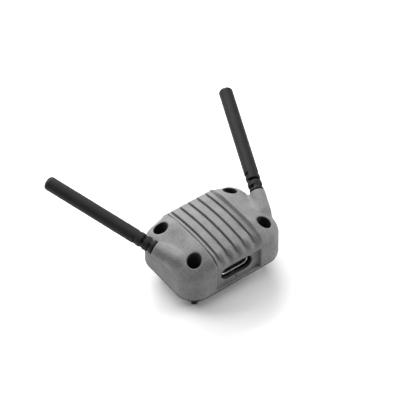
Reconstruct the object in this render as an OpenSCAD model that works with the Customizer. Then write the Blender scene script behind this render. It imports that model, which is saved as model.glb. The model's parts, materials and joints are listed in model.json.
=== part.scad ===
// Wireless receiver unit: a domed case with a ribbed top, a USB-C socket in the front pocket,
// four long corner screws that stand out of the base, and two rod antennas on flexible necks.
// Origin: centre of the base's underside. Front (socket side) is -Y, right is +X, up is +Z.

/* [Case] */
// Width of the case across the base
case_w = 32.4; // [32:0.1:33]
// Depth of the case across the base
case_d = 23.4; // [23.2:0.1:24]
// Height of the shoulders above the underside
case_h = 13.5; // [13.3:0.1:14]
// Radius of the base outline's front corners
front_corner_r = 5.8; // [5:0.1:6.4]
// Radius of the base outline's back corners
back_corner_r = 5; // [4.6:0.1:6.4]
// Thickness of the base plate's visible edge
plate_edge = 0.4; // [0.3:0.05:0.5]

/* [Ribbed top] */
// Height of the ribbed panel at its middle
panel_h = 12.4; // [12.2:0.1:12.6]
// Distance between neighbouring grooves
groove_pitch = 2.82; // [2.6:0.02:2.9]
// Width of one groove
groove_w = 0.7; // [0.5:0.1:1]
// Depth of a groove at its middle
groove_depth = 0.9; // [0.5:0.1:1]
// Number of grooves
groove_count = 5; // [3:2:5]

/* [Screws] */
// Distance between screws, left to right
screw_dx = 22.9; // [22.6:0.1:23.1]
// Distance between screws, front to back
screw_dy = 14.6; // [14.4:0.1:14.8]
// Length that each screw stands out below the base
stud_len = 5.2; // [2:0.1:8]
// Radius of the screw's thread
screw_r = 1.0; // [0.9:0.05:1]
// Radius of the sunk screw holes in the case
counterbore_r = 1.95; // [1.9:0.05:2]

/* [Antennas] */
// Outward splay of each antenna from straight back
splay = 22.3; // [20:0.5:25]
// Upward tilt of each antenna
rise = 12.7; // [10:0.5:15]
// Radius of the antenna sleeve
sleeve_r = 1.95; // [1.8:0.05:2]
// Length from the boss mouth to the tip
antenna_len = 34.1; // [25:0.1:45]

/* [Which part] */
// Part to draw

/* [Hidden] */

$fn = 48;
LEFT = -1;
RIGHT = 1;
eps = 0.01;
half_w = case_w / 2;
half_d = case_d / 2;

// case edges: crest of each shoulder, tight front and back edge, round corners
crest_r = 1.5;
crest_x = 8.3;
crest_y = 6.2;
edge_r = 1.8;
edge_x = 7.5;
edge_top = 11.3;
shoulder_r = 4.4;
shoulder_z = 7.2;
wall_foot_h = 3;

// cavity inside the shell
cavity_w = case_w - 3.6;
cavity_d = case_d - 4.4;
cavity_corner_r = 4;
cavity_edge_r = 1.2;
cavity_edge_z = 8.4;
cavity_round_r = 2.7;
cavity_round_z = 7;
cavity_flat_h = 4;

// sunk ribbed panel
panel_drop = 0.9;
panel_drop_y = 8.8;
panel_foot_x = 6.95;
panel_rim_x = 7.65;
panel_arc_r = (panel_drop_y * panel_drop_y + panel_drop * panel_drop) / (2 * panel_drop);
groove_arc_r = 80;

// front pocket and socket
pocket_w = 14.4;
pocket_depth = 1.1;
pocket_top = 8;
pocket_sill = 0.75;
pocket_floor = half_d - pocket_depth;
socket_z = 4.3;
slot_z = 4.15;
slot_w = 10;
slot_h = 4.5;
receptacle_w = 8.94;
receptacle_h = 3.2;
receptacle_len = 7.3;
receptacle_wall = 0.3;
receptacle_front = half_d - 2.25;

// base, board and screws
plate_inset = 0.1;
plug_clearance = 0.1;
plug_top = 1.4;
gasket_outer_inset = 1.6;
gasket_inner_inset = 2.15;
gasket_h = 0.35;
board_t = 0.8;
board_top = socket_z - receptacle_h / 2;
board_under = board_top - board_t;
board_w = 28;
board_d = 18.2;
tower_r = 2.9;
tower_h = 7.6;
tower_top_r = 2.5;
tower_top_h = 9;
board_notch_r = 3.2;
screw_head_z = 2.8;
tip_chamfer = 0.45;
screw_head_h = 2;
screw_head_r = 1.9;
screw_hole_r = 1.1;
screw_waist_r = 0.9;
hex_key_r = 0.87;
hex_key_depth = 1;

// antenna bosses: the mouth of the right boss, and stations along its axis
mouth = [16.87, 2.39, 11.45];
antenna_dir = [sin(splay) * cos(rise), cos(splay) * cos(rise), sin(rise)];
boss_r = 2.1;
boss_len = 6.1;
boss_bore_r = 1.55;
boss_bore_len = 7.3;
collar_plug_r = 1.5;
collar_plug_len = 3;
collar_end = 1;
link_start = 1.8;
link_end = 3.1;
sleeve_start = 3.9;
pivot_1 = (collar_end + link_start) / 2;
pivot_2 = (link_end + sleeve_start) / 2;
slot_start = 5.2;
slot_len = 0.8;
slot_from = 1.15;
neck_bore_r = 0.45;
cable_r = 0.4;
pivot_gap = 0.2;
liner_r = 0.9;
liner_bore_r = 0.3;
liner_start = sleeve_start + 0.3;
wire_r = 0.25;
tip_wall = 1;
tip_round = 1.1;
wire_end = antenna_len - tip_wall - 0.4;

// coax of the right side: its route from the plug on the board up into the boss
coax_plug_at = [10.6, 1.4];
coax_plug_r = 1.5;
coax_socket_r = 1;
coax_crimp_r = 0.42;
coax_z = board_top + 0.9;
coax_route = [[10.6, -0.8, 3.6], [10.8, -1.9, 3.8], [11.6, -3, 4.8], [12.4, -3.6, 6.2],
    [13.2, -3.9, 7.8], [14, -3.9, 9.2]];
coax_bore_from = -6.3;
coax_bore_steps = 4;
coax_sides = 8;
rings_per_span = 2;
entry_from = [14.3, -3.9, 9.9];
entry_to = [12.9, -3.8, 7];
entry_bore_r = 1;
// status light under the slot
light_x = -0.3;
light_z = 1.35;
light_r = 0.35;
light_back = 9.25;
led_h = 0.45;

// children are drawn for the right side, and mirrored for the left
module on_side(side) {
    if (side == RIGHT) children();
    if (side == LEFT) mirror([1, 0, 0]) children();
}

module four_corners(x, y) {
    for (sx = [-1, 1])
        for (sy = [-1, 1])
            translate([sx * x, sy * y, 0]) children();
}

module rounded_rect(w, d, r) {
    square([w - 2 * r, d], center = true);
    square([w, d - 2 * r], center = true);
    four_corners(w / 2 - r, d / 2 - r) circle(r = r);
}

module outline(inset) {
    hull()
        for (sx = [-1, 1])
            for (end = [[-1, front_corner_r], [1, back_corner_r]])
                translate([sx * (half_w - end[1]), end[0] * (half_d - end[1])])
                    circle(r = end[1] - inset);
}

module box_at(centre, size) {
    translate([centre[0] - size[0] / 2, centre[1] - size[1] / 2, centre[2]]) cube(size);
}

// +Z of the children points along the antenna, z = 0 at the boss mouth
module along_antenna(side) {
    translate([side * mouth[0], mouth[1], mouth[2]])
        rotate([0, 0, -side * splay])
            rotate([rise - 90, 0, 0])
                children();
}

module rod_between(a, b, r) {
    d = b - a;
    reach = norm(d);
    translate(a)
        rotate([0, acos(d[2] / reach), atan2(d[1], d[0])])
            cylinder(h = reach, r = r);
}

// a point on the smooth curve through four neighbouring points
function curve_point(p0, p1, p2, p3, t) =
    0.5 * (2 * p1 + (p2 - p0) * t + (2 * p0 - 5 * p1 + 4 * p2 - p3) * t * t
        + (3 * p1 - p0 - 3 * p2 + p3) * t * t * t);

function smooth_path(p, n) = concat(
    [for (i = [0 : len(p) - 2])
        for (k = [0 : n - 1])
            curve_point(p[max(i - 1, 0)], p[i], p[i + 1], p[min(i + 2, len(p) - 1)], k / n)],
    [p[len(p) - 1]]);

function unit(v) = v / norm(v);

function path_direction(p, i) = unit(p[min(i + 1, len(p) - 1)] - p[max(i - 1, 0)]);

// a round tube along a path that never runs straight along X
module swept_tube(path, r, sides) {
    rings = [for (i = [0 : len(path) - 1])
        let (along = path_direction(path, i), across = unit(cross(along, [1, 0, 0])))
            for (k = [0 : sides - 1])
                path[i] + r * (cos(360 * k / sides) * across
                    + sin(360 * k / sides) * cross(along, across))];
    last = (len(path) - 1) * sides;
    polyhedron(rings, concat(
        [[for (k = [0 : sides - 1]) sides - 1 - k]],
        [for (i = [0 : len(path) - 2])
            for (k = [0 : sides - 1])
                let (a = i * sides + k, b = i * sides + (k + 1) % sides)
                    [a, b, b + sides, a + sides]],
        [[for (k = [0 : sides - 1]) last + k]]));
}

// ---- case ----

module outer_form() {
    hull() {
        translate([0, 0, plate_edge]) linear_extrude(wall_foot_h) outline(0);
        four_corners(half_w - shoulder_r, half_d - shoulder_r)
            translate([0, 0, shoulder_z]) sphere(r = shoulder_r, $fn = 32);
        four_corners(crest_x, crest_y)
            translate([0, 0, case_h - crest_r]) sphere(r = crest_r, $fn = 20);
        four_corners(edge_x, half_d - edge_r)
            translate([0, 0, edge_top - edge_r]) sphere(r = edge_r, $fn = 20);
    }
}

module inner_form() {
    hull() {
        linear_extrude(cavity_flat_h) rounded_rect(cavity_w, cavity_d, cavity_corner_r);
        four_corners(cavity_w / 2 - cavity_round_r, cavity_d / 2 - cavity_round_r)
            translate([0, 0, cavity_round_z]) sphere(r = cavity_round_r, $fn = 16);
        four_corners(edge_x, cavity_d / 2 - cavity_edge_r)
            translate([0, 0, cavity_edge_z]) sphere(r = cavity_edge_r, $fn = 16);
    }
}

module arched_cut(width, top, arc_r) {
    rotate([90, 0, 90])
        linear_extrude(width, center = true)
            difference() {
                translate([-case_d, top - 3]) square([2 * case_d, 6]);
                translate([0, top - arc_r]) circle(r = arc_r, $fn = 96);
            }
}

module panel_recess() {
    intersection() {
        arched_cut(2 * panel_rim_x, panel_h, panel_arc_r);
        rotate([90, 0, 0])
            linear_extrude(case_d + 2, center = true)
                polygon([[-panel_foot_x, panel_h - 3], [panel_foot_x, panel_h - 3],
                    [panel_foot_x, panel_h], [panel_rim_x, case_h],
                    [panel_rim_x, case_h + 2], [-panel_rim_x, case_h + 2],
                    [-panel_rim_x, case_h], [-panel_foot_x, panel_h]]);
    }
}

module grooves() {
    for (i = [0 : groove_count - 1])
        translate([(i - (groove_count - 1) / 2) * groove_pitch, 0, 0])
            arched_cut(groove_w, panel_h - groove_depth, groove_arc_r);
}

module front_pocket() {
    rotate([90, 0, 90])
        linear_extrude(pocket_w, center = true)
            polygon([[-half_d - 1, pocket_sill], [-pocket_floor, pocket_sill],
                [-pocket_floor, pocket_top - 1.6], [-half_d, pocket_top],
                [-half_d - 1, pocket_top]]);
}

module slot_shape(w, h) {
    square([w - h, h], center = true);
    for (side = [-1, 1])
        translate([side * (w - h) / 2, 0]) circle(r = h / 2);
}

module through_front(z, from_y, length) {
    translate([0, from_y + length, z])
        rotate([90, 0, 0])
            linear_extrude(length)
                children();
}

// a stem with a rounded root, which sinks into the shoulder
module boss(side) {
    along_antenna(side)
        rotate_extrude()
            polygon(concat([[0, 0], [boss_r, 0]],
                [for (a = [0 : 15 : 90])
                    [boss_r * cos(a), -boss_len - boss_r * sin(a)]]));
}

module boss_bore(side) {
    along_antenna(side)
        translate([0, 0, -boss_bore_len])
            cylinder(h = boss_bore_len + 1, r = boss_bore_r);
    on_side(side)
        rod_between(entry_to, entry_from, entry_bore_r);
}

module screw_towers() {
    four_corners(screw_dx / 2, screw_dy / 2)
        translate([0, 0, plug_top]) {
            cylinder(h = tower_h, r = tower_r);
            cylinder(h = tower_top_h, r = tower_top_r);
        }
}

module upper_shell() {
    color([0.62, 0.62, 0.62])
        difference() {
            union() {
                difference() {
                    union() {
                        outer_form();
                        boss(LEFT);
                        boss(RIGHT);
                    }
                    translate([0, 0, -eps]) inner_form();
                }
                screw_towers();
            }
            panel_recess();
            grooves();
            front_pocket();
            linear_extrude(plate_edge + gasket_h)
                outline(gasket_outer_inset);
            through_front(slot_z, -half_d - 1, 4) slot_shape(slot_w, slot_h);
            translate([light_x, 0, 0])
                through_front(light_z, -half_d - 1, 4) circle(r = light_r);
            boss_bore(LEFT);
            boss_bore(RIGHT);
            four_corners(screw_dx / 2, screw_dy / 2) {
                cylinder(h = case_h, r = screw_hole_r);
                translate([0, 0, screw_head_z]) cylinder(h = case_h, r = counterbore_r);
            }
        }
}

module base_plate() {
    color([0.12, 0.12, 0.13])
        difference() {
            union() {
                linear_extrude(plate_edge) outline(plate_inset);
                linear_extrude(plug_top)
                    rounded_rect(cavity_w - 2 * plug_clearance - 0.6,
                        cavity_d - 2 * plug_clearance - 0.6, cavity_corner_r - 0.4);
                for (x = [-5.5, 5.5])
                    box_at([x, 0, plug_top - eps], [1.2, 12, board_under - plug_top + eps]);
            }
            four_corners(screw_dx / 2, screw_dy / 2)
                translate([0, 0, -1]) cylinder(h = plug_top + 2, r = screw_hole_r);
        }
}

module base_gasket() {
    color([0.05, 0.05, 0.05])
        translate([0, 0, plate_edge])
            linear_extrude(gasket_h)
                difference() {
                    outline(gasket_outer_inset + 0.02);
                    outline(gasket_inner_inset);
                }
}

module corner_screws() {
    color([0.1, 0.1, 0.1])
        four_corners(screw_dx / 2, screw_dy / 2)
            difference() {
                union() {
                    cylinder(h = screw_head_z, r = screw_waist_r);
                    translate([0, 0, tip_chamfer - stud_len])
                        cylinder(h = stud_len - tip_chamfer, r = screw_r);
                    translate([0, 0, -stud_len])
                        cylinder(h = tip_chamfer, r1 = screw_r - tip_chamfer, r2 = screw_r);
                    translate([0, 0, screw_head_z])
                        cylinder(h = screw_head_h, r = screw_head_r);
                }
                translate([0, 0, screw_head_z + screw_head_h - hex_key_depth])
                    cylinder(h = hex_key_depth + 1, r = hex_key_r, $fn = 6);
            }
}

// ---- electronics ----

module main_board() {
    color([0.08, 0.12, 0.1])
        translate([0, 0, board_under])
            linear_extrude(board_t)
                difference() {
                    rounded_rect(board_w, board_d, 1);
                    four_corners(screw_dx / 2, screw_dy / 2) circle(r = board_notch_r);
                }
}

module usb_c_shell() {
    color([0.75, 0.75, 0.76]) {
        difference() {
            through_front(socket_z, -receptacle_front, receptacle_len)
                slot_shape(receptacle_w, receptacle_h);
            through_front(socket_z, -receptacle_front - 1, receptacle_len)
                slot_shape(receptacle_w - 2 * receptacle_wall,
                    receptacle_h - 2 * receptacle_wall);
        }
    }
}

module usb_c_tongue() {
    color([0.06, 0.06, 0.06])
        through_front(socket_z, 0.6 - receptacle_front, receptacle_len - 1.6)
            square([6.69, 0.7], center = true);
}

module usb_c_contacts() {
    color([0.85, 0.68, 0.3])
        for (i = [0 : 11])
            for (face = [0.35, -0.37])
                translate([(i - 5.5) * 0.5 - 0.12, 0.9 - receptacle_front, socket_z + face])
                    cube([0.24, 3.6, 0.02]);
}

module chip(x, y, w, d, h) {
    translate([x - w / 2, y - d / 2, board_top]) cube([w, d, h]);
}

module radio_shield() {
    color([0.72, 0.72, 0.74])
        difference() {
            chip(0, 4.6, 9, 7.6, 1.7);
            translate([0, 0, -0.2]) chip(0, 4.6, 8.6, 7.2, 1.7);
        }
}

module radio_chip() {
    color([0.08, 0.08, 0.08]) chip(0, 5.6, 4, 4, 0.8);
}

module amplifier_chips() {
    color([0.08, 0.08, 0.08])
        for (side = [LEFT, RIGHT])
            chip(side * 2.6, 2.1, 2, 2, 0.6);
}

module controller_chip() {
    color([0.08, 0.08, 0.08]) chip(-8.2, -2.4, 3.6, 3.6, 0.9);
}

module clock_crystal() {
    color([0.8, 0.8, 0.8]) chip(-7.2, 4.8, 2.5, 2, 0.6);
}

module regulator_chip() {
    color([0.08, 0.08, 0.08]) chip(6.8, 0.4, 2, 2.2, 0.9);
}

module power_inductor() {
    color([0.25, 0.25, 0.26]) chip(7.6, -2.6, 2.5, 2.5, 1.2);
}

module capacitors() {
    color([0.6, 0.5, 0.36])
        for (i = [0 : 4])
            chip(5.8 + i * 0.8, 3.4, 0.5, 1, 0.5);
}

module resistors() {
    color([0.1, 0.1, 0.1])
        for (i = [0 : 4])
            chip(-9 + i * 0.8, 3, 0.5, 0.8, 0.35);
}

module status_led() {
    color([0.9, 0.9, 0.85])
        box_at([light_x, 0.4 - board_d / 2, board_under - led_h], [1, 0.7, led_h]);
}

module light_pipe() {
    color([0.85, 0.85, 0.85])
        translate([light_x, 0, 0])
            through_front(light_z, -pocket_floor, pocket_floor - light_back)
                circle(r = light_r - 0.02);
}

module coax_socket(side) {
    color([0.85, 0.68, 0.3])
        on_side(side) {
            chip(coax_plug_at[0], coax_plug_at[1], 2.6, 2.6, 0.35);
            translate([coax_plug_at[0], coax_plug_at[1], board_top])
                cylinder(h = 0.8, r = coax_socket_r);
        }
}

module coax_plug(side) {
    color([0.8, 0.65, 0.3])
        on_side(side) {
            difference() {
                translate([coax_plug_at[0], coax_plug_at[1], board_top + 0.38])
                    cylinder(h = 0.95, r = coax_plug_r);
                translate([coax_plug_at[0], coax_plug_at[1], board_top])
                    cylinder(h = 0.85, r = coax_socket_r + 0.02);
            }
            rod_between([coax_plug_at[0], coax_plug_at[1] - 1.3, coax_z],
                coax_route[0], coax_crimp_r);
        }
}

// the cable ends at the first bend of the neck, where the link's piece of it goes on
module coax_cable(side) {
    bore_len = pivot_1 - pivot_gap - coax_bore_from;
    in_bore = [for (i = [0 : coax_bore_steps])
        mouth + (coax_bore_from + bore_len * i / coax_bore_steps) * antenna_dir];
    color([0.06, 0.06, 0.06])
        on_side(side)
            swept_tube(smooth_path(concat(coax_route, in_bore), rings_per_span),
                cable_r, coax_sides);
}

// ---- antennas ----

// a pair of saw cuts, one from each side, that leaves a web above and below
module neck_slots() {
    for (turn = [0, 180])
        rotate([0, 0, turn])
            translate([slot_from, -sleeve_r, slot_start])
                cube([sleeve_r, 2 * sleeve_r, slot_len]);
}

module ring(from_z, to_z, r, bore) {
    translate([0, 0, from_z])
        difference() {
            cylinder(h = to_z - from_z, r = r);
            translate([0, 0, -1]) cylinder(h = to_z - from_z + 2, r = bore);
        }
}

module neck_collar(side) {
    color([0.1, 0.1, 0.1])
        along_antenna(side)
            union() {
                ring(-collar_plug_len, collar_end, collar_plug_r, neck_bore_r);
                ring(0.02, collar_end, sleeve_r, neck_bore_r);
            }
}

module neck_link(side) {
    color([0.1, 0.1, 0.1])
        along_antenna(side)
            ring(link_start, link_end, sleeve_r, neck_bore_r);
}

module link_cable(side) {
    color([0.06, 0.06, 0.06])
        along_antenna(side)
            translate([0, 0, pivot_1 + pivot_gap])
                cylinder(h = pivot_2 - pivot_1 - 2 * pivot_gap, r = cable_r);
}

module antenna_sleeve(side) {
    color([0.13, 0.13, 0.13])
        along_antenna(side)
            difference() {
                rotate_extrude() {
                    translate([0, sleeve_start])
                        square([sleeve_r, antenna_len - tip_round - sleeve_start]);
                    translate([0, sleeve_start + 1])
                        square([sleeve_r - tip_round, antenna_len - sleeve_start - 1]);
                    translate([sleeve_r - tip_round, antenna_len - tip_round])
                        intersection() {
                            circle(r = tip_round);
                            square(tip_round);
                        }
                }
                translate([0, 0, sleeve_start - 1])
                    cylinder(h = antenna_len - tip_wall - sleeve_start + 1, r = liner_r + 0.02);
                neck_slots();
            }
}

module antenna_liner(side) {
    color([0.9, 0.9, 0.9])
        along_antenna(side)
            ring(liner_start, antenna_len - tip_wall - 0.1, liner_r, liner_bore_r);
}

module antenna_wire(side) {
    color([0.8, 0.5, 0.3])
        along_antenna(side)
            translate([0, 0, pivot_2 + pivot_gap])
                cylinder(h = wire_end - pivot_2 - pivot_gap, r = wire_r);
}

upper_shell();
base_plate();
base_gasket();
corner_screws();
main_board();
usb_c_shell();
usb_c_tongue();
usb_c_contacts();
radio_shield();
radio_chip();
amplifier_chips();
controller_chip();
clock_crystal();
regulator_chip();
power_inductor();
capacitors();
resistors();
status_led();
light_pipe();
antenna_sleeve(LEFT);  // left_antenna_sleeve
antenna_liner(LEFT);  // left_antenna_liner
antenna_wire(LEFT);  // left_antenna_wire
neck_link(LEFT);  // left_neck_link
link_cable(LEFT);  // left_link_cable
neck_collar(LEFT);  // left_neck_collar
coax_cable(LEFT);  // left_coax_cable
coax_plug(LEFT);  // left_coax_plug
coax_socket(LEFT);  // left_coax_socket
antenna_sleeve(RIGHT);  // right_antenna_sleeve
antenna_liner(RIGHT);  // right_antenna_liner
antenna_wire(RIGHT);  // right_antenna_wire
neck_link(RIGHT);  // right_neck_link
link_cable(RIGHT);  // right_link_cable
neck_collar(RIGHT);  // right_neck_collar
coax_cable(RIGHT);  // right_coax_cable
coax_plug(RIGHT);  // right_coax_plug
coax_socket(RIGHT);  // right_coax_socket
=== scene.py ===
"""Looks of the wireless receiver unit: moulded case, rod antennas on slotted necks, long screws.

The soft shapes are signed distance fields in millimetres, turned into meshes on a grid.
"""

import json
import math

import bpy
import numpy as np
from mathutils import Matrix, Vector


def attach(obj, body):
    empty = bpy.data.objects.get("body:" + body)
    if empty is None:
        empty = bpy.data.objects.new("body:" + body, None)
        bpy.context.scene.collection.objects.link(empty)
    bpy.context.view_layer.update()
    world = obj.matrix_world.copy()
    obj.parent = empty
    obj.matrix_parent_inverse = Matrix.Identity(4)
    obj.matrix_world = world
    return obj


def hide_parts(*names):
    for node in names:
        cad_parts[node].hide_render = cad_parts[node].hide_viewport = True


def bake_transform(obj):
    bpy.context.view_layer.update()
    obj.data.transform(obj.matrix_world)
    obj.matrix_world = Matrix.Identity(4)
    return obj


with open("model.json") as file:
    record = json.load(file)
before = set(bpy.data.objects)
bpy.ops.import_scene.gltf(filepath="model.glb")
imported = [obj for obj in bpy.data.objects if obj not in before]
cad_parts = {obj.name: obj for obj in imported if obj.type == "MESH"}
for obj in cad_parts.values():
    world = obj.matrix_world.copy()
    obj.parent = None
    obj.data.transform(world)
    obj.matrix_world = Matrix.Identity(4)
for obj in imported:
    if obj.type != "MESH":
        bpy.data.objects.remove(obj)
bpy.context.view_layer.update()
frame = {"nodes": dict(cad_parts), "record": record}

MM = 0.001
SIDES = {"left": -1, "right": 1}

# ---- sizes, in millimetres (z = 0 is the underside, the port faces -Y) ----

HALF_W = 16.2
HALF_D = 11.7
FRONT_CORNER_R = 5.8
BACK_CORNER_R = 5.0
DRAFT = 0.012
PLATE_EDGE = 0.45
PLATE_INSET = 0.15
PLATE_PLUG = (14.0, 9.1, 3.6)
PLATE_PLUG_TOP = 1.4
CREST_H = 13.5
CREST_X = 8.3
CREST_FRONT = 6.6
CREST_BACK = 5.8
SLOPE_X = 0.42
SLOPE_FRONT = 0.43
SLOPE_BACK = 0.35
TIGHT_R = 1.8
FRONT_EDGE_R = 3.4
SHOULDER_R = 4.4
CREST_SOFT = 0.6

PANEL_H = 12.4
PANEL_ARCH = 0.0103
PANEL_FOOT_X = 6.95
PANEL_RIM_X = 7.65
GROOVE_PITCH = 2.82
GROOVE_W = 0.66
GROOVE_DEPTH = 1.1
GROOVE_FADE_FRONT = (10.8, 12.8)
GROOVE_FADE_BACK = (9.6, 11.6)
GROOVE_FADE_Z = (8.8, 10.8)
GROOVE_SPREAD = 0.35
SCALLOP_DEPTH = 0.6
SCALLOP_Y = (8.4, 10.6)
SCALLOP_Z = (8.5, 10.0)
PANEL_CREASE_X = -7.05
PANEL_CREASE_HALF_W = 0.33
PANEL_CREASE_DEPTH = 0.6

POCKET_HALF_W = 7.2
POCKET_FLOOR = HALF_D - 1.1
POCKET_TOP = 7.9
POCKET_SILL = 0.85
POCKET_LEAN = 1.3
POCKET_LEAN_SCALE = 0.6
POCKET_EDGE_R = 0.35
INNER_WALL = 8.5
SLOT_Z = 4.15
SLOT_HALF_W = 5.05
SLOT_HALF_H = 2.25
SOCKET_Z = 4.3
SOCKET_HALF_W = 4.47
SOCKET_HALF_H = 1.6
SOCKET_WALL = 0.3
SOCKET_FRONT = 9.45
SOCKET_BACK = 2.15
LIGHT_X = -0.3
LIGHT_Z = 1.35
LIGHT_R = 0.35

SCREW_X = 11.45
SCREW_Y = 7.3
COUNTERBORE_R = 1.93
SCREW_HOLE_R = 1.1
SCREW_HEAD_Z = 2.8
SCREW_HEAD_H = 2.0
SCREW_HEAD_R = 1.9
SCREW_R = 1.0
SHANK_R = 0.9
THREAD_PITCH = 0.4
THREAD_DEPTH = 0.13
STUD_LEN = 5.2
TIP_CHAMFER = 0.75
HEX_HALF_W = 0.75

CAVITY_HALF_W = 14.4
CAVITY_HALF_D = 9.5
CAVITY_TOP = 9.8
CAVITY_CORNER_R = 4.0
PILLAR_R = 2.7

MOUTH = np.array([16.87, 2.39, 11.45])
SPLAY = math.radians(22.3)
RISE = math.radians(12.7)
ALONG = np.array([math.sin(SPLAY) * math.cos(RISE), math.cos(SPLAY) * math.cos(RISE),
                  math.sin(RISE)])
ACROSS = np.array([math.cos(SPLAY), -math.sin(SPLAY), 0.0])
ABOVE = np.cross(ACROSS, ALONG)
BOSS_R = 2.1
BOSS_LEN = 6.1
BOSS_ROOT_R = 1.6
BOSS_CLEAR_R = 2.35
BOSS_BORE_DEPTH = 3.2
SLEEVE_R = 1.95
COLLAR_PLUG_R = 1.5
COLLAR_END = 1.0
LINK_START = 1.8
LINK_END = 3.1
SLEEVE_START = 3.9
SLEEVE_SLOT = 5.6
SLOT_FLOOR = 1.15
ANTENNA_LEN = 34.1
TIP_R = 1.1
SEAM_HEIGHT = 0.03
SEAM_W = 0.08
NECK_BORE_R = 0.45
CORE_R = 1.1
WEB_R = 1.88
WEB_EDGE = (0.82, 0.92)
WEB_PINCH = 0.06
LINER_BORE_R = 0.92


# Grid steps for the meshes.
CASE_STEP = 0.15
MEDIUM_STEP = 0.1
FINE_STEP = 0.08


# ---- distance field helpers ----

def softplus(t, width):
    """t where it is positive and 0 elsewhere, with the bend softened over a width."""
    return width * np.logaddexp(0, t / width)


def sigmoid(t):
    return 0.5 + 0.5 * np.tanh(t / 2)


def smoothstep(a, b, t):
    """0 below a, 1 above b and smooth between."""
    h = np.clip((t - a) / (b - a), 0, 1)
    return h * h * (3 - 2 * h)


def join(a, b, k):
    """Union whose corner is filled over a width k."""
    h = np.maximum(k - np.abs(a - b), 0) / k
    return np.minimum(a, b) - h * h * k / 4


def cut(a, b, k):
    """a less b, with the rim rounded over a width k."""
    return -join(-a, b, k)


def meet(a, b, r, lean=0.0):
    """Intersection of a and b, its edge of radius r; lean is the cosine between the normals."""
    p, q = a + r, b + r
    corner = np.sqrt(np.maximum(p * p + q * q - 2 * lean * p * q, 0) / (1 - lean ** 2))
    return np.where((p > lean * q) & (q > lean * p), corner, np.maximum(p, q)) - r


def rounded_rect(x, y, half_x, half_y, r):
    dx = np.abs(x) - half_x + r
    dy = np.abs(y) - half_y + r
    outside = np.hypot(np.maximum(dx, 0), np.maximum(dy, 0))
    return outside + np.minimum(np.maximum(dx, dy), 0) - r


def stadium(x, z, half_w, half_h):
    return np.hypot(np.maximum(np.abs(x) - half_w + half_h, 0), z) - half_h


def surface_net(field, low, high, step, settle=2):
    """Mesh of the field's zero surface: vertices in the field's own unit, and quads."""
    counts = [int(round((h - l) / step)) + 1 for l, h in zip(low, high)]
    axes = [l + step * np.arange(n) for l, n in zip(low, counts)]
    x, y, z = np.meshgrid(*axes, indexing="ij", sparse=True)
    d = np.broadcast_to(field(x, y, z), counts).astype(np.float32)
    inside = d < 0
    corners = [(a, b, c) for a in (0, 1) for b in (0, 1) for c in (0, 1)]
    spans = [n - 1 for n in counts]
    held = np.zeros(spans, np.uint8)
    for a, b, c in corners:
        held += inside[a:a + spans[0], b:b + spans[1], c:c + spans[2]]
    active = (held > 0) & (held < 8)
    cells = np.argwhere(active)
    index = np.full(spans, -1, np.int64)
    index[active] = np.arange(len(cells))
    values = [d[tuple((cells + np.array(o)).T)] for o in corners]
    total = np.zeros((len(cells), 3))
    hits = np.zeros(len(cells))
    for i, p in enumerate(corners):
        for j in range(i + 1, 8):
            q = corners[j]
            if sum(abs(m - n) for m, n in zip(p, q)) != 1:
                continue
            crossed = (values[i] < 0) != (values[j] < 0)
            gap = np.where(crossed, values[i] - values[j], 1)
            t = np.where(crossed, values[i] / gap, 0)
            spot = np.array(p) + t[:, None] * (np.array(q) - np.array(p))
            total += np.where(crossed[:, None], spot, 0)
            hits += crossed
    verts = np.array(low) + step * (cells + total / hits[:, None])
    quads = []
    for axis in range(3):
        u, v = (axis + 1) % 3, (axis + 2) % 3
        near = np.take(inside, range(counts[axis] - 1), axis=axis)
        far = np.take(inside, range(1, counts[axis]), axis=axis)
        edges = np.argwhere(near != far)
        keep = (edges[:, u] > 0) & (edges[:, v] > 0)
        keep &= (edges[:, u] < counts[u] - 1) & (edges[:, v] < counts[v] - 1)
        edges = edges[keep]
        loop = []
        for du, dv in ((0, 0), (-1, 0), (-1, -1), (0, -1)):
            cell = edges.copy()
            cell[:, u] += du
            cell[:, v] += dv
            loop.append(index[tuple(cell.T)])
        loop = np.stack(loop, axis=1)
        outward = near[tuple(edges.T)]
        quads.append(np.where(outward[:, None], loop, loop[:, ::-1]))
    quads = np.concatenate(quads)
    return settle_on(field, verts, step, settle), quads


def settle_on(field, verts, step, rounds):
    """Move the vertices along the field's gradient onto its zero surface."""
    probe = step * 0.25
    for _ in range(rounds):
        x, y, z = verts.T
        here = field(x, y, z)
        slope = np.stack([field(x + probe, y, z) - field(x - probe, y, z),
                          field(x, y + probe, z) - field(x, y - probe, z),
                          field(x, y, z + probe) - field(x, y, z - probe)], axis=1)
        slope /= 2 * probe
        size = np.maximum((slope ** 2).sum(axis=1), 0.05)
        move = -slope * (here / size)[:, None]
        length = np.linalg.norm(move, axis=1, keepdims=True)
        move *= np.minimum(1, 0.5 * step / np.maximum(length, 1e-9))
        verts = verts + move
    return verts


def mesh_object(name, verts, faces, place=None):
    """A smooth-shaded object from millimetre vertices; place maps them to the frame."""
    if place is not None:
        verts = place(verts)
    mesh = bpy.data.meshes.new(name)
    mesh.vertices.add(len(verts))
    mesh.vertices.foreach_set("co", (np.asarray(verts) * MM).astype(np.float32).ravel())
    faces = np.asarray(faces)
    mesh.loops.add(faces.size)
    mesh.loops.foreach_set("vertex_index", faces.astype(np.int32).ravel())
    mesh.polygons.add(len(faces))
    starts = np.arange(0, faces.size, faces.shape[1], dtype=np.int32)
    mesh.polygons.foreach_set("loop_start", starts)
    mesh.update(calc_edges=True)
    mesh.validate()
    mesh.polygons.foreach_set("use_smooth", [True] * len(mesh.polygons))
    piece = bpy.data.objects.new(name, mesh)
    bpy.context.scene.collection.objects.link(piece)
    return piece


def finish_piece(piece, body, material, nodes):
    """Gives a piece its material and body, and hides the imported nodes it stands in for."""
    piece.data.materials.append(material)
    if body:
        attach(piece, body)
    if nodes:
        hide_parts(*nodes)
    return piece


# ---- materials ----

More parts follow.
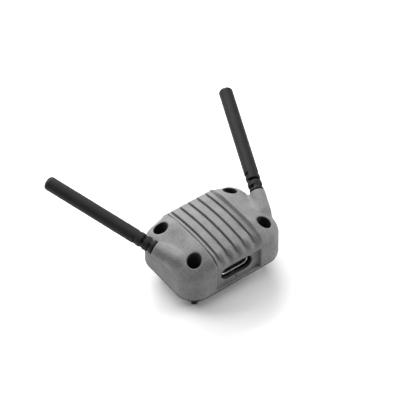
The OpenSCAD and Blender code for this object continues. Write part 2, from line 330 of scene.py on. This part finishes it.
def new_material(name):
    material = bpy.data.materials.new(name)
    material.use_nodes = True
    tree = material.node_tree
    shader = tree.nodes["Principled BSDF"]
    where = tree.nodes.new("ShaderNodeTexCoord").outputs["Object"]
    return material, tree, shader, where


def noise(tree, where, grain_mm, detail=3.0, roughness=0.6):
    node = tree.nodes.new("ShaderNodeTexNoise")
    node.inputs["Scale"].default_value = 1 / (grain_mm * MM)
    node.inputs["Detail"].default_value = detail
    node.inputs["Roughness"].default_value = roughness
    tree.links.new(where, node.inputs["Vector"])
    return node.outputs["Fac"]


def ramp(tree, factor, stops):
    node = tree.nodes.new("ShaderNodeValToRGB")
    while len(node.color_ramp.elements) < len(stops):
        node.color_ramp.elements.new(0.5)
    for element, (at, colour) in zip(node.color_ramp.elements, stops):
        element.position = at
        element.color = (*colour, 1)
    tree.links.new(factor, node.inputs["Fac"])
    return node.outputs["Color"]


def bump(tree, shader, height, depth_mm, strength=1.0):
    node = tree.nodes.new("ShaderNodeBump")
    node.inputs["Strength"].default_value = strength
    node.inputs["Distance"].default_value = depth_mm * MM
    tree.links.new(height, node.inputs["Height"])
    tree.links.new(node.outputs["Normal"], shader.inputs["Normal"])


def add(tree, a, b, share):
    node = tree.nodes.new("ShaderNodeMath")
    node.operation = "MULTIPLY_ADD"
    tree.links.new(b, node.inputs[0])
    node.inputs[1].default_value = share
    tree.links.new(a, node.inputs[2])
    return node.outputs[0]


def maths(tree, operation, *terms):
    """A maths node; each term is a number or a node's output."""
    node = tree.nodes.new("ShaderNodeMath")
    node.operation = operation
    for socket, term in zip(node.inputs, terms):
        if isinstance(term, (int, float)):
            socket.default_value = term
        else:
            tree.links.new(term, socket)
    return node.outputs[0]


def grey(v):
    return (v, v, v)


def grained(name, dark, light, grain_mm, rough, depth_mm, metal=0.0):
    """A moulded or metal surface: colour speckle, uneven roughness and a fine relief."""
    material, tree, shader, where = new_material(name)
    speckle = noise(tree, where, grain_mm)
    cloud = noise(tree, where, grain_mm * 14, detail=2.0)
    mixed = add(tree, speckle, cloud, 0.6)
    colour = ramp(tree, mixed, [(0.45, dark), (1.0, light)])
    tree.links.new(colour, shader.inputs["Base Color"])
    rough_low, rough_high = rough
    roughness = ramp(tree, speckle, [(0.3, grey(rough_low)), (0.7, grey(rough_high))])
    tree.links.new(roughness, shader.inputs["Roughness"])
    shader.inputs["Metallic"].default_value = metal
    bump(tree, shader, mixed, depth_mm)
    return material


# Painted shade: the near-black colour painted inside the deep screw counterbores and the port's
# tunnel.
HOLE_SHADE_GREY = 0.03


def paint_hole_shade(material):
    """Paints shade into the case's moulding: near-black colour inside the screw counterbores and
    the port's tunnel, where the deep holes lie in shade.
    """
    tree = material.node_tree
    shader = tree.nodes["Principled BSDF"]
    where = tree.nodes.new("ShaderNodeTexCoord").outputs["Object"]
    split = tree.nodes.new("ShaderNodeSeparateXYZ")
    tree.links.new(where, split.inputs[0])
    x, y, z = (maths(tree, "MULTIPLY", out, 1 / MM) for out in split.outputs)
    ax = maths(tree, "ABSOLUTE", x)
    screw_x = maths(tree, "SUBTRACT", ax, SCREW_X)
    screw_y = maths(tree, "SUBTRACT", maths(tree, "ABSOLUTE", y), SCREW_Y)
    off = maths(tree, "SQRT", maths(tree, "ADD", maths(tree, "MULTIPLY", screw_x, screw_x),
                                  maths(tree, "MULTIPLY", screw_y, screw_y)))
    in_screw = maths(tree, "LESS_THAN", off, COUNTERBORE_R + 0.04)
    end_x = maths(tree, "MAXIMUM", maths(tree, "SUBTRACT", ax, SLOT_HALF_W - SLOT_HALF_H), 0.0)
    rise = maths(tree, "SUBTRACT", z, SLOT_Z)
    reach = maths(tree, "SQRT", maths(tree, "ADD", maths(tree, "MULTIPLY", end_x, end_x),
                                    maths(tree, "MULTIPLY", rise, rise)))
    in_slot = maths(tree, "MULTIPLY", maths(tree, "LESS_THAN", reach, SLOT_HALF_H + 0.03),
                   maths(tree, "LESS_THAN", y, 0.0))
    # Where the painted shade goes: inside the counterbores and the port's tunnel.
    inside = maths(tree, "MAXIMUM", in_screw, in_slot)
    blend = tree.nodes.new("ShaderNodeMix")
    blend.data_type = "RGBA"
    colour = shader.inputs["Base Color"].links[0].from_socket
    tree.links.new(inside, blend.inputs["Factor"])
    tree.links.new(colour, blend.inputs[6])
    blend.inputs[7].default_value = (*grey(HOLE_SHADE_GREY), 1)
    tree.links.new(blend.outputs[2], shader.inputs["Base Color"])
    return material


def dulled(material, ior):
    """The same material with a weaker gloss."""
    material.node_tree.nodes["Principled BSDF"].inputs["IOR"].default_value = ior
    return material


# The case's nylon, with painted shade inside its holes.
CASE = paint_hole_shade(grained("case_nylon", grey(0.075), grey(0.19), 0.3, (0.55, 0.7), 0.05))
RUBBER = dulled(grained("antenna_rubber", grey(0.006), grey(0.014), 0.3, (0.5, 0.6), 0.012), 1.28)
STEEL = grained("connector_steel", grey(0.55), grey(0.72), 0.12, (0.2, 0.32), 0.004, 1.0)
BLACK_STEEL = dulled(grained("black_steel", grey(0.006), grey(0.012), 0.1, (0.45, 0.6), 0.006),
                     1.35)
# Partly painted shade: the base plate is near-black, far darker than the case, so that it draws the
# dark line under the case's bottom edge, which is partly a dark seam and partly shade in the gap.
SEAM_AND_SHADE_BASE = dulled(grained("base_plastic", grey(0.006), grey(0.012), 0.25, (0.6, 0.75), 0.02), 1.2)
PLAIN = {
    "seal_rubber": grained("seal_rubber", grey(0.01), grey(0.02), 0.2, (0.6, 0.7), 0.01),
    "board": grained("board", (0.01, 0.03, 0.02), (0.02, 0.055, 0.04), 0.4, (0.3, 0.4), 0.01),
    "connector_plastic": grained("connector_plastic", grey(0.01), grey(0.02), 0.1,
                                 (0.4, 0.5), 0.004),
    "gold_contacts": grained("gold_contacts", (0.42, 0.31, 0.14), (0.55, 0.42, 0.2), 0.1,
                             (0.3, 0.4), 0.003, 1.0),
    "shield_tin": grained("shield_tin", grey(0.5), grey(0.65), 0.3, (0.3, 0.42), 0.006, 1.0),
    "chip_resin": grained("chip_resin", grey(0.015), grey(0.03), 0.1, (0.5, 0.6), 0.006),
    "ferrite": grained("ferrite", grey(0.04), grey(0.08), 0.12, (0.5, 0.6), 0.008),
    "ceramic": grained("ceramic", (0.35, 0.25, 0.15), (0.5, 0.38, 0.25), 0.1,
                       (0.5, 0.6), 0.005),
    "led_lens": grained("led_lens", grey(0.05), grey(0.08), 0.2, (0.3, 0.4), 0.003),
    "clear_plastic": grained("clear_plastic", grey(0.05), grey(0.09), 0.2, (0.15, 0.25), 0.003),
    "liner_plastic": grained("liner_plastic", grey(0.7), grey(0.8), 0.2, (0.4, 0.5), 0.004),
    "copper_wire": grained("copper_wire", (0.6, 0.3, 0.18), (0.8, 0.45, 0.28), 0.1,
                           (0.25, 0.35), 0.003, 1.0),
    "cable_jacket": grained("cable_jacket", grey(0.012), grey(0.022), 0.15, (0.4, 0.5), 0.004),
    "connector_steel": STEEL,
    "black_steel": BLACK_STEEL,
    "base_plastic": SEAM_AND_SHADE_BASE,
    "case_nylon": CASE,
    "antenna_rubber": RUBBER,
}


# ---- the case ----

def outline(x, y, inset):
    """The case's plan, shrunk all round by inset."""
    r = np.where(y > 0, BACK_CORNER_R, FRONT_CORNER_R) - inset
    return rounded_rect(x, y, HALF_W - inset, HALF_D - inset, r)


def case_top(x, y):
    """Height of the case's top over (x, y) before its edges are rounded, and its two slopes."""
    ax, ay = np.abs(x), np.abs(y)
    side, front, back = ax - CREST_X, -y - CREST_FRONT, y - CREST_BACK
    shoulder = (CREST_H - SLOPE_X * softplus(side, CREST_SOFT)
                - SLOPE_FRONT * softplus(front, CREST_SOFT)
                - SLOPE_BACK * softplus(back, CREST_SOFT))
    fall_y = (SLOPE_FRONT * sigmoid(front / CREST_SOFT)
              + SLOPE_BACK * sigmoid(back / CREST_SOFT))
    panel = PANEL_H - PANEL_ARCH * y * y
    share = smoothstep(PANEL_FOOT_X, PANEL_RIM_X, ax)
    height = panel + (shoulder - panel) * share
    panel_fall = 2 * PANEL_ARCH * ay
    return height, SLOPE_X * sigmoid(side / CREST_SOFT), panel_fall + (fall_y - panel_fall) * share


def case_body(x, y, z):
    """The case's outer form alone: drafted walls, domed top and rounded edges."""
    ax, ay = np.abs(x), np.abs(y)
    shrink = DRAFT * z
    wall = outline(x, y, shrink)
    corner_r = np.where(y > 0, BACK_CORNER_R, FRONT_CORNER_R)
    out_x = np.maximum(ax - HALF_W + corner_r, 0)
    out_y = np.maximum(ay - HALF_D + corner_r, 0)
    height, fall_x, fall_y = case_top(x, y)
    steep = np.sqrt(1 + fall_x ** 2 + fall_y ** 2)
    lean = (fall_x * out_x + fall_y * out_y) / (np.hypot(out_x, out_y) + 1e-6) / steep
    rounding = smoothstep(6.5, np.where(y > 0, 9.0, 12.0), ax)
    middle_r = np.where(y > 0, TIGHT_R, FRONT_EDGE_R)
    edge_r = middle_r + (SHOULDER_R - middle_r) * rounding
    body = meet(wall, (z - height) / steep, edge_r, lean)
    return meet(body, PLATE_EDGE - z, 0.2)


def boss_stations(x, y, z):
    """Distance along and off the axis of the boss on the point's own side."""
    px, py, pz = np.abs(x) - MOUTH[0], y - MOUTH[1], z - MOUTH[2]
    s = px * ALONG[0] + py * ALONG[1] + pz * ALONG[2]
    off = np.sqrt(np.maximum(px ** 2 + py ** 2 + pz ** 2 - s ** 2, 0))
    return s, off


def grooves_field(x, y, z, body):
    """The panel's grooves and its left crease; they fade out over the front and back edges."""
    column = x - GROOVE_PITCH * np.clip(np.round(x / GROOVE_PITCH), -2, 2)
    fade = (1 - smoothstep(*GROOVE_FADE_FRONT, -y)) * (1 - smoothstep(*GROOVE_FADE_BACK, y))
    fade = fade * smoothstep(*GROOVE_FADE_Z, z)
    half_w = GROOVE_W / 2 + np.where(y < 0, GROOVE_SPREAD * (1 - fade), 0)
    grooves = meet(np.abs(column) - half_w, -(body + GROOVE_DEPTH * fade), 0.15)
    from_crease = np.abs(x - PANEL_CREASE_X) - PANEL_CREASE_HALF_W
    crease = meet(from_crease, -(body + PANEL_CREASE_DEPTH * fade), 0.1)
    return np.minimum(grooves, crease)


def scallops(x, y, z):
    """How far the grooves' flared front ends sink the surface, leaving a ridge between each two."""
    wave = 0.5 + 0.5 * np.cos(2 * math.pi * x / GROOVE_PITCH)
    wave = np.where(np.abs(x) < 2.5 * GROOVE_PITCH, wave, 0)
    return SCALLOP_DEPTH * wave * smoothstep(*SCALLOP_Y, -y) * smoothstep(*SCALLOP_Z, z)


def pocket_field(x, y, z):
    depth = y + POCKET_FLOOR
    run_out = z - POCKET_TOP + POCKET_LEAN * (depth + HALF_D - POCKET_FLOOR)
    run_out = run_out * POCKET_LEAN_SCALE
    opening = meet(meet(np.abs(x) - POCKET_HALF_W, depth, 0.5), run_out, 0.5)
    return meet(opening, POCKET_SILL - z, 0.1)


def case_field(x, y, z):
    """The whole upper shell: outer form, bosses, grooves, openings and its hollow."""
    s, off = boss_stations(x, y, z)
    boss = np.hypot(np.minimum(s + BOSS_LEN, 0), off) - BOSS_R
    boss = meet(boss, s, 0.2)
    body = case_body(x, y, z)
    shape = join(body + scallops(x, y, z), boss, BOSS_ROOT_R)
    shape = cut(shape, meet(off - BOSS_CLEAR_R, -s, 0.01), 0.3)
    shape = cut(shape, grooves_field(x, y, z, body), 0.15)
    shape = cut(shape, pocket_field(x, y, z), POCKET_EDGE_R)
    slot = meet(stadium(x, z - SLOT_Z, SLOT_HALF_W, SLOT_HALF_H), y + INNER_WALL, 0.1)
    shape = cut(shape, slot, 0.25)
    light = np.maximum(np.hypot(x - LIGHT_X, z - LIGHT_Z) - LIGHT_R, y + INNER_WALL)
    shape = cut(shape, light, 0.1)
    screw = np.hypot(np.abs(x) - SCREW_X, np.abs(y) - SCREW_Y)
    room = rounded_rect(x, y, CAVITY_HALF_W, CAVITY_HALF_D, CAVITY_CORNER_R)
    cavity = meet(room, z - CAVITY_TOP, 2.0)
    cavity = cut(cavity, screw - PILLAR_R, 0.3)
    shape = cut(shape, cavity, 0.2)
    shape = cut(shape, np.maximum(screw - COUNTERBORE_R, SCREW_HEAD_Z - z), 0.35)
    shape = cut(shape, screw - SCREW_HOLE_R, 0.1)
    bore = np.maximum(off - COLLAR_PLUG_R - 0.03, -BOSS_BORE_DEPTH - s)
    return cut(shape, bore, 0.15)


def build_case():
    step = CASE_STEP
    verts, quads = surface_net(case_field, (-20.4, -12.3, 0.0), (20.4, 12.3, 14.4), step)
    piece = mesh_object("case_shell", verts, quads)
    finish_piece(piece, "case", CASE, ["upper_shell"])


# ---- base plate, socket and screws ----

def base_field(x, y, z):
    plate = meet(outline(x, y, PLATE_INSET), z - PLATE_EDGE, 0.05)
    plug = meet(rounded_rect(x, y, *PLATE_PLUG), z - PLATE_PLUG_TOP, 0.1)
    shape = meet(join(plate, plug, 0.05), -z, 0.12)
    screw = np.hypot(np.abs(x) - SCREW_X, np.abs(y) - SCREW_Y)
    return cut(shape, screw - SCREW_HOLE_R, 0.15)


def build_base():
    verts, quads = surface_net(base_field, (-16.4, -12.0, -0.2), (16.4, 12.0, 1.6),
                               MEDIUM_STEP)
    piece = mesh_object("base_plate_moulding", verts, quads)
    finish_piece(piece, "case", SEAM_AND_SHADE_BASE, ["base_plate"])


def socket_field(x, y, z):
    """The receptacle's metal shell, closed at its back; z = 0 is its middle."""
    outer = stadium(x, z, SOCKET_HALF_W, SOCKET_HALF_H)
    hollow = stadium(x, z, SOCKET_HALF_W - SOCKET_WALL, SOCKET_HALF_H - SOCKET_WALL)
    inner = np.maximum(hollow, y + SOCKET_BACK + 1)
    tube = meet(meet(outer, -SOCKET_FRONT - y, 0.08), y + SOCKET_BACK, 0.08)
    return cut(tube, inner, 0.12)


def build_socket():
    verts, quads = surface_net(socket_field, (-4.7, -9.7, -1.8), (4.7, -1.9, 1.8), FINE_STEP)
    piece = mesh_object("usb_c_receptacle", verts + np.array([0, 0, SOCKET_Z]), quads)
    finish_piece(piece, "case", STEEL, ["usb_c_shell"])


def screw_field(x, y, z):
    """A cap screw with its head up; z = 0 is the case's underside."""
    off = np.hypot(x, y)
    turn = np.arctan2(y, x) / (2 * math.pi)
    phase = np.abs(((z / THREAD_PITCH - turn) % 1) - 0.5) * 2
    fade = smoothstep(-STUD_LEN, -STUD_LEN + 0.5, z)
    shank_r = SCREW_R - THREAD_DEPTH * phase * 0.9 - 0.1 * (1 - fade)
    shank_r = np.where(z > 0, SHANK_R, shank_r)
    point = (off - z - STUD_LEN - SCREW_R + TIP_CHAMFER) * 0.7
    ends = np.maximum(-STUD_LEN - z, z - SCREW_HEAD_Z - 0.3)
    shank = meet(np.maximum(off - shank_r, point), ends, 0.1)
    middle = SCREW_HEAD_Z + SCREW_HEAD_H / 2
    head = meet(off - SCREW_HEAD_R, np.abs(z - middle) - SCREW_HEAD_H / 2, 0.25)
    turns = np.arctan2(y, x)
    sector = (turns + math.pi / 6) % (math.pi / 3) - math.pi / 6
    hexagon = off * np.cos(sector) - HEX_HALF_W
    recess = np.maximum(hexagon, middle - z)
    return cut(join(shank, head, 0.15), recess, 0.1)


def build_screws():
    verts, quads = surface_net(screw_field, (-2.2, -2.2, -5.5), (2.2, 2.2, 5.1), FINE_STEP,
                               settle=1)
    spots = [(sx * SCREW_X, sy * SCREW_Y, 0) for sx in (-1, 1) for sy in (-1, 1)]
    placed = np.concatenate([verts + np.array(spot) for spot in spots])
    faces = np.concatenate([quads + i * len(verts) for i in range(len(spots))])
    piece = mesh_object("corner_cap_screws", placed, faces)
    finish_piece(piece, "case", BLACK_STEEL, ["corner_screws"])


# ---- antennas ----

def on_antenna(side):
    """Maps neck coordinates (across, above, along) of one side to the frame."""
    flip = np.array([SIDES[side], 1, 1])

    def place(p):
        spot = MOUTH + p[:, :1] * ACROSS + p[:, 1:2] * ABOVE + p[:, 2:3] * ALONG
        return spot * flip
    return place


def collar_field(x, y, s):
    """The neck's fixed end: a ring outside the boss and a plug inside it."""
    off = np.hypot(x, y)
    ring = meet(off - SLEEVE_R, np.maximum(0.25 - s, s - COLLAR_END), 0.15)
    plug = meet(off - COLLAR_PLUG_R, np.maximum(-3 - s, s - 0.9), 0.1)
    return cut(join(ring, plug, 0.05), off - NECK_BORE_R, 0.05)


def link_field(x, y, s):
    off = np.hypot(x, y)
    ring = meet(off - SLEEVE_R, np.maximum(LINK_START - s, s - LINK_END), 0.2)
    return cut(ring, off - NECK_BORE_R, 0.05)


def sleeve_field(x, y, s):
    """The antenna's sleeve with its mould seam and the third pair of neck slots."""
    off = np.hypot(x, y)
    tip = meet(off - SLEEVE_R, s - ANTENNA_LEN, TIP_R)
    seam = SEAM_HEIGHT * np.exp(-(x / SEAM_W) ** 2) * (1 - smoothstep(31, 33, s))
    shape = meet(tip - seam, SLEEVE_START - s, 0.25)
    slots = meet(SLOT_FLOOR - np.abs(x), np.abs(s - SLEEVE_SLOT) - 0.4, 0.1)
    shape = cut(shape, slots, 0.2)
    return cut(shape, np.maximum(off - LINER_BORE_R, s - ANTENNA_LEN + 1), 0.05)


def web_tube(name, side, start, end, upright):
    """The rubber left in a neck slot: a core with a web on two sides, as a short tube."""
    rings, sides = 9, 72
    s = np.linspace(start, end, rings)
    turn = np.linspace(0, 2 * math.pi, sides, endpoint=False)
    toward_web = np.abs(np.sin(turn) if upright else np.cos(turn))
    reach = CORE_R + (WEB_R - CORE_R) * smoothstep(*WEB_EDGE, toward_web)
    pinch = 1 - WEB_PINCH * np.sin(np.linspace(0, math.pi, rings))
    outer = np.stack([np.outer(pinch, reach * np.cos(turn)), np.outer(pinch, reach * np.sin(turn)),
                      np.repeat(s[:, None], sides, axis=1)], axis=2)
    inner = outer.copy()
    inner[:, :, 0] = NECK_BORE_R * np.cos(turn)
    inner[:, :, 1] = NECK_BORE_R * np.sin(turn)
    verts = np.concatenate([outer, inner[::-1]]).reshape(-1, 3)
    faces = []
    for i in range(2 * rings):
        for k in range(sides):
            a, b = i * sides + k, i * sides + (k + 1) % sides
            j = (i + 1) % (2 * rings)
            faces.append((a, b, j * sides + (k + 1) % sides, j * sides + k))
    if SIDES[side] < 0:
        faces = [f[::-1] for f in faces]
    return mesh_object(name, verts, faces, on_antenna(side))


def build_antenna(side):
    place = on_antenna(side)

    def add_piece(name, field, low, high, step, body, node):
        verts, quads = surface_net(field, low, high, step)
        if SIDES[side] < 0:
            quads = quads[:, ::-1]
        piece = mesh_object(f"{side}_{name}", verts, quads, place)
        finish_piece(piece, body, RUBBER, [f"{side}_{node}"])

    wide = SLEEVE_R + 0.25
    add_piece("collar_moulding", collar_field, (-wide, -wide, -3.2), (wide, wide, 1.2),
              FINE_STEP, "case", "neck_collar")
    add_piece("link_moulding", link_field, (-wide, -wide, 1.6), (wide, wide, 3.3),
              FINE_STEP, f"{side}_link", "neck_link")
    add_piece("sleeve_moulding", sleeve_field, (-wide, -wide, 3.7), (wide, wide, 34.4),
              MEDIUM_STEP, f"{side}_antenna", "antenna_sleeve")
    spans = {"first": (COLLAR_END, LINK_START, True, "case", f"{side}_link"),
             "second": (LINK_END, SLEEVE_START, False, f"{side}_link", f"{side}_antenna")}
    for name, (start, end, upright, before, after) in spans.items():
        piece = web_tube(f"{side}_{name}_web", side, start, end, upright)
        piece.data.materials.append(RUBBER)
        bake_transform(piece)


# ---- everything carried over from the CAD ----

def dress_cad_nodes():
    """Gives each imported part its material, by the record's material slots."""
    slots = {row["node"]: row["material_slot"] for row in frame["record"]["subparts"]}
    for name, node in frame["nodes"].items():
        node.data.materials.clear()
        node.data.materials.append(PLAIN[slots[name]])


# ---- floor, light and camera ----

FLOOR_HALF_W = 2.0  # metres
CAMERA_AZIMUTH = math.radians(-37.1)
CAMERA_ELEVATION = math.radians(46.0)
CAMERA_AWAY = 0.55  # metres
VIEW_WIDTH = 110.93
VIEW_SHIFT_RIGHT = -1.147
VIEW_SHIFT_UP = 12.48
SENSOR = 36.0
WORLD_LIGHT = 0.07
LAMPS = {  # place and size in metres, power in watts
    "back_soft_box": ((0.1, 0.4, 0.3), (0.5, 0.3), 4.0),
    "top_soft_box": ((0.0, 0.0, 0.5), (0.5, 0.5), 1.15),
    "left_soft_box": ((-0.3, 0.3, 0.4), (0.3, 0.3), 1.8),
    "front_fill": ((0.43, -0.22, 0.25), (0.3, 0.3), 2.1),
}
LAMP_AIM = (0, 0, 0.005)


def build_stage():
    """A pale floor that the screws' tips stand on."""
    corners = np.array([(-1, -1, 0), (1, -1, 0), (1, 1, 0), (-1, 1, 0)])
    verts = corners * FLOOR_HALF_W / MM + np.array([0, 0, -STUD_LEN])
    floor = mesh_object("floor", verts, [(0, 1, 2, 3)])
    material, tree, shader, where = new_material("floor_paper")
    colour = ramp(tree, noise(tree, where, 60.0), [(0.3, grey(0.9)), (0.7, grey(0.92))])
    tree.links.new(colour, shader.inputs["Base Color"])
    shader.inputs["Roughness"].default_value = 0.9
    floor.data.materials.append(material)


def area_light(name, place, size, power):
    light = bpy.data.lights.new(name, "AREA")
    light.shape = "RECTANGLE"
    light.size, light.size_y = size
    light.energy = power
    lamp = bpy.data.objects.new(name, light)
    lamp.location = Vector(place)
    lamp.rotation_euler = (Vector(LAMP_AIM) - Vector(place)).to_track_quat("-Z", "Y").to_euler()
    bpy.context.scene.collection.objects.link(lamp)


def build_lights():
    for name, (place, size, power) in LAMPS.items():
        area_light(name, place, size, power)
    world = bpy.data.worlds.new("studio")
    world.use_nodes = True
    world.node_tree.nodes["Background"].inputs["Color"].default_value = (1, 1, 1, 1)
    world.node_tree.nodes["Background"].inputs["Strength"].default_value = WORLD_LIGHT
    bpy.context.scene.world = world


def build_camera():
    """The camera looks at the origin, moved sideways and up in the picture's own plane."""
    ca, sa = math.cos(CAMERA_AZIMUTH), math.sin(CAMERA_AZIMUTH)
    ce, se = math.cos(CAMERA_ELEVATION), math.sin(CAMERA_ELEVATION)
    back = Vector((sa * ce, -ca * ce, se))
    right = Vector((ca, sa, 0))
    up = back.cross(right)
    target = (right * VIEW_SHIFT_RIGHT + up * VIEW_SHIFT_UP) * MM
    data = bpy.data.cameras.new("camera")
    data.sensor_width = SENSOR
    data.lens = SENSOR * CAMERA_AWAY / (VIEW_WIDTH * MM)
    camera = bpy.data.objects.new("camera", data)
    turn = Matrix((right, up, back)).transposed().to_4x4()
    camera.matrix_world = Matrix.Translation(target + back * CAMERA_AWAY) @ turn
    bpy.context.scene.collection.objects.link(camera)
    bpy.context.scene.camera = camera


bpy.context.scene.view_settings.view_transform = "Standard"
build_camera()
dress_cad_nodes()
build_case()
build_base()
build_socket()
build_screws()
for side_name in SIDES:
    build_antenna(side_name)
build_stage()
build_lights()

bpy.context.view_layer.update()
